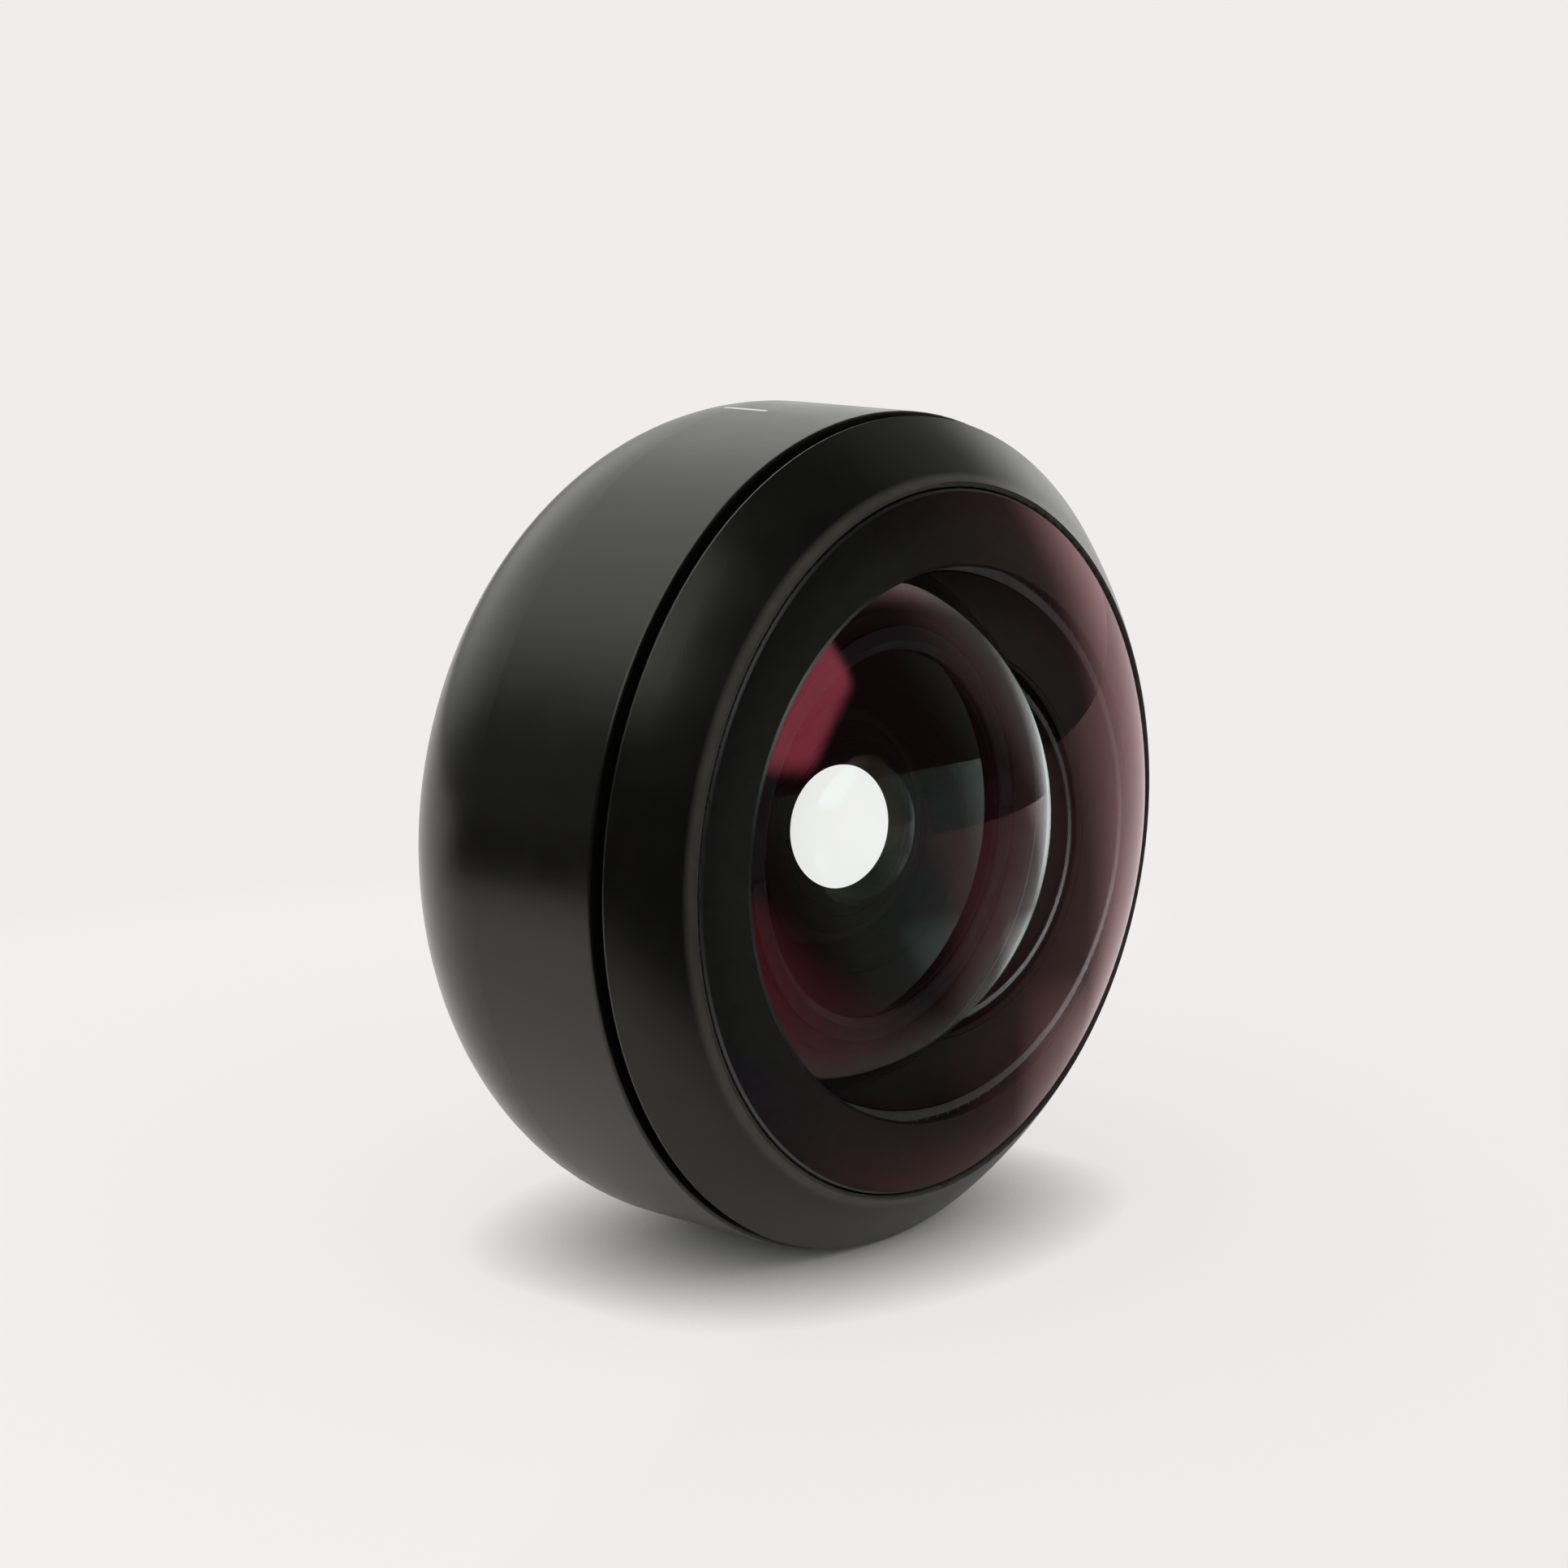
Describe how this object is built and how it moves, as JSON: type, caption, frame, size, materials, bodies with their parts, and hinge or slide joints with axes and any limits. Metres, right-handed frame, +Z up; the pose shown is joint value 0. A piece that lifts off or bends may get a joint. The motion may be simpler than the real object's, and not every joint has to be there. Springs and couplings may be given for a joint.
{
  "type": "phone fisheye lens",
  "caption": "Round clip-on fisheye lens for a phone: black two-piece body, domed front glass, inner lens groups in a barrel, and a two-lug twist-on rear mount.",
  "frame": {"origin": "centre of the bayonet's seat plane, on the optical axis", "axes": "+Y along the optical axis towards the phone, so the front glass looks towards -Y; +Z up, towards the index line on the band"},
  "size_m": [0.038, 0.0249, 0.038],
  "materials": {
    "body_black": "black anodised, bead-blasted satin",
    "inner_black": "matt black anodised",
    "mark_white": "white paint in a shallow groove",
    "front_glass": "polished, with a magenta and green coating",
    "inner_glass": "polished, with a green coating",
    "seal_rubber": "black silicone",
    "stop_black": "blackened film",
    "mount_steel": "turned stainless steel",
    "screw_steel": "black oxide steel",
    "pin_steel": "polished stainless steel",
    "spring_steel": "spring wire"
  },
  "bodies": {
    "lens_body": {"rear_shell": "body_black", "index_mark": "mark_white", "front_bezel": "body_black", "lens_barrel": "inner_black", "front_dome_lens": "front_glass", "dome_seal_ring": "seal_rubber", "second_lens": "inner_glass", "second_lens_ring": "inner_black", "rear_lens_cell": "inner_black", "doublet_front_lens": "inner_glass", "doublet_rear_lens": "inner_glass", "front_spacer_ring": "inner_black", "rear_spacer_ring": "inner_black", "aperture_stop": "stop_black", "rear_lens": "inner_glass", "rear_lens_ring": "inner_black", "bayonet_mount": "mount_steel", "mount_screws": "screw_steel", "detent_spring_1": "spring_steel", "detent_spring_2": "spring_steel"},
    "upper_right_plunger": {"detent_plunger_1": "pin_steel"},
    "upper_left_plunger": {"detent_plunger_2": "pin_steel"}
  },
  "joints": [
    {"name": "plunger_1_press", "type": "slide", "parent": "lens_body", "child": "upper_right_plunger", "axis": [0, -1, 0], "range_m": [0, 0.00045], "stiffness_N_per_m": 500, "deforming": ["detent_spring_1"]},
    {"name": "plunger_2_press", "type": "slide", "parent": "lens_body", "child": "upper_left_plunger", "axis": [0, -1, 0], "range_m": [0, 0.00045], "stiffness_N_per_m": 500, "deforming": ["detent_spring_2"]}
  ]
}
